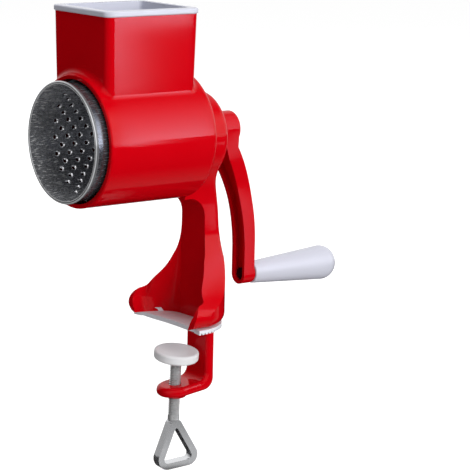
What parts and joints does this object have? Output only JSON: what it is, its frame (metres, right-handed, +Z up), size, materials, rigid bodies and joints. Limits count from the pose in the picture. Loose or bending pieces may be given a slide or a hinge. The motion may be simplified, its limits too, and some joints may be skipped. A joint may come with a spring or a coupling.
{
  "type": "rotary nut grinder",
  "caption": "Hand-cranked rotary nut grinder with a square hopper, perforated drum, side crank and table clamp.",
  "frame": {"origin": "where the clamp screw's axis meets the underside of the foot pad, the face that rests on the table", "axes": "+X from the drum's open mouth to the crank, +Z up, +Y to the side away from the front view"},
  "size_m": [0.2348, 0.088, 0.3226],
  "materials": {
    "housing_plastic": "gloss",
    "pad_plastic": "satin",
    "nut_steel": "zinc",
    "bush_plastic": "satin",
    "drum_steel": "brushed",
    "rim_steel": "polished",
    "cap_steel": "bright",
    "washer_steel": "bright",
    "shaft_steel": "turned",
    "thrust_plastic": "satin",
    "crank_plastic": "gloss",
    "slip_plastic": "satin",
    "insert_brass": "turned",
    "axle_steel": "bright",
    "grip_plastic": "satin gloss",
    "pusher_plastic": "satin gloss",
    "disc_plastic": "satin",
    "ring_steel": "bright",
    "screw_steel": "zinc",
    "bow_chrome": "polished"
  },
  "bodies": {
    "frame": {"housing": "housing_plastic", "foot_pad": "pad_plastic", "jaw_nut": "nut_steel", "shaft_bush": "bush_plastic"},
    "drum": {"drum_sleeve": "drum_steel", "drum_rim_ring": "rim_steel", "drum_end_cap": "cap_steel", "rivet_washer": "washer_steel", "drum_shaft": "shaft_steel", "thrust_washer": "thrust_plastic", "crank_arm": "crank_plastic", "hub_washer": "slip_plastic", "crank_insert": "insert_brass", "grip_axle": "axle_steel"},
    "grip": {"grip": "grip_plastic"},
    "pusher": {"pusher": "pusher_plastic"},
    "pad": {"clamp_pad": "disc_plastic", "pad_retainer": "ring_steel"},
    "screw": {"clamp_screw": "screw_steel", "clamp_bow": "bow_chrome"}
  },
  "joints": [
    {"name": "drum_spin", "type": "hinge", "parent": "frame", "child": "drum", "pos_m": [0, 0, 0.1325], "axis": [1, 0, 0], "continuous": true},
    {"name": "grip_spin", "type": "hinge", "parent": "drum", "child": "grip", "pos_m": [0.101, 0, 0.0283], "axis": [1, 0, 0], "continuous": true},
    {"name": "pusher_slide", "type": "slide", "parent": "frame", "child": "pusher", "axis": [0, 0, 1], "range_m": [0, 0.055]},
    {"name": "pad_slide", "type": "slide", "parent": "frame", "child": "pad", "axis": [0.0349, 0, 0.9994], "range_m": [-0.009, 0.0154]},
    {"name": "screw_turn", "type": "hinge", "parent": "pad", "child": "screw", "pos_m": [0, 0, 0], "axis": [0.0349, 0, 0.9994], "range_deg": [-2590, 4430]}
  ],
  "couplings": [
    {"joint": "pad_slide", "follows": "screw_turn", "m_per_rad": 0.00019894}
  ]
}
